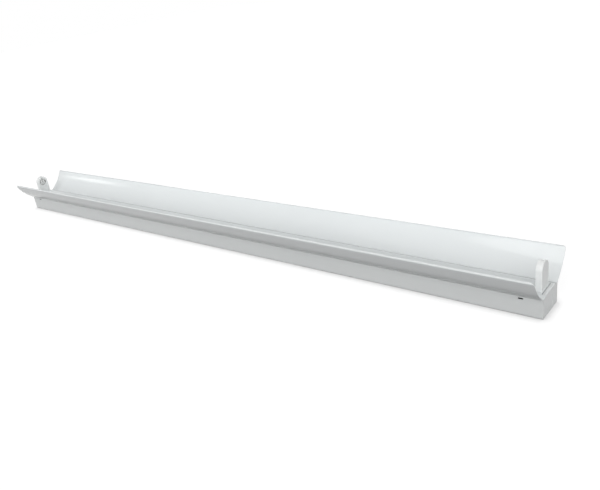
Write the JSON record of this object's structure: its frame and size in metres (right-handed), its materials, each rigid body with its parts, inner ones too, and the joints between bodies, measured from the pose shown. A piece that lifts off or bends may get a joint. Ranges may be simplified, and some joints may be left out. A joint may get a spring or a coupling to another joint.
{
  "type": "tube light fixture",
  "caption": "Ceiling batten for a straight LED tube: folded steel channel, trough reflector with raised wings, a rotary lampholder at each end, and a mains terminal inside.",
  "frame": {"origin": "centre of the mounting face, the outside of the channel's back", "axes": "+X along the fixture to the right end, +Y to the back, +Z away from the mounting face to the light side"},
  "size_m": [1.232, 0.1188, 0.0719],
  "materials": {
    "white_paint": "gloss white powder coat on steel sheet",
    "lampholder_plastic": "white moulded thermoplastic",
    "rotor_plastic": "white moulded thermoplastic",
    "brass": "plain pressed brass",
    "spring_steel": "blackened spring steel strip",
    "zinc_steel": "zinc plated steel",
    "terminal_nylon": "natural nylon",
    "brown_pvc": "brown PVC insulation",
    "blue_pvc": "blue PVC insulation",
    "green_pvc": "green and yellow PVC insulation",
    "black_rubber": "black rubber"
  },
  "bodies": {
    "fixture": {"base_channel": "white_paint", "end_plate_left": "white_paint", "end_plate_right": "white_paint", "reflector": "white_paint", "lampholder_body_left": "lampholder_plastic", "lampholder_cover_left": "lampholder_plastic", "lamp_contacts_left": "brass", "lampholder_body_right": "lampholder_plastic", "lampholder_cover_right": "lampholder_plastic", "lamp_contacts_right": "brass", "latch_springs": "spring_steel", "terminal_bracket": "zinc_steel", "terminal_block": "terminal_nylon", "terminal_clamps": "brass", "terminal_screws": "zinc_steel", "terminal_fixing_screws": "zinc_steel", "earth_screw": "brass", "earth_washer": "zinc_steel", "earth_tag": "brass", "live_lead": "brown_pvc", "neutral_lead": "blue_pvc", "earth_lead": "green_pvc", "wire_clips": "terminal_nylon", "cable_grommet": "black_rubber"},
    "rotor_left": {"rotor_left": "rotor_plastic"},
    "rotor_right": {"rotor_right": "rotor_plastic"},
    "latch_arm_front_left": {"latch_arm_front_left": "spring_steel"},
    "latch_arm_front_right": {"latch_arm_front_right": "spring_steel"},
    "latch_arm_back_left": {"latch_arm_back_left": "spring_steel"},
    "latch_arm_back_right": {"latch_arm_back_right": "spring_steel"}
  },
  "joints": [
    {"name": "rotor_left_turn", "type": "hinge", "parent": "fixture", "child": "rotor_left", "pos_m": [-0.605, 0, 0.059], "axis": [1, 0, 0], "range_deg": [-90, 90]},
    {"name": "rotor_right_turn", "type": "hinge", "parent": "fixture", "child": "rotor_right", "pos_m": [0.605, 0, 0.059], "axis": [1, 0, 0], "range_deg": [-90, 90]},
    {"name": "latch_arm_front_left_press", "type": "hinge", "parent": "fixture", "child": "latch_arm_front_left", "pos_m": [-0.5865, -0.02515, 0.0146], "axis": [-1, 0, 0], "range_deg": [0, 5], "stiffness_Nm_per_rad": 0.2},
    {"name": "latch_arm_front_right_press", "type": "hinge", "parent": "fixture", "child": "latch_arm_front_right", "pos_m": [0.5865, -0.02515, 0.0146], "axis": [-1, 0, 0], "range_deg": [0, 5], "stiffness_Nm_per_rad": 0.2},
    {"name": "latch_arm_back_left_press", "type": "hinge", "parent": "fixture", "child": "latch_arm_back_left", "pos_m": [-0.5865, 0.02515, 0.0146], "axis": [1, 0, 0], "range_deg": [0, 5], "stiffness_Nm_per_rad": 0.2},
    {"name": "latch_arm_back_right_press", "type": "hinge", "parent": "fixture", "child": "latch_arm_back_right", "pos_m": [0.5865, 0.02515, 0.0146], "axis": [1, 0, 0], "range_deg": [0, 5], "stiffness_Nm_per_rad": 0.2}
  ]
}
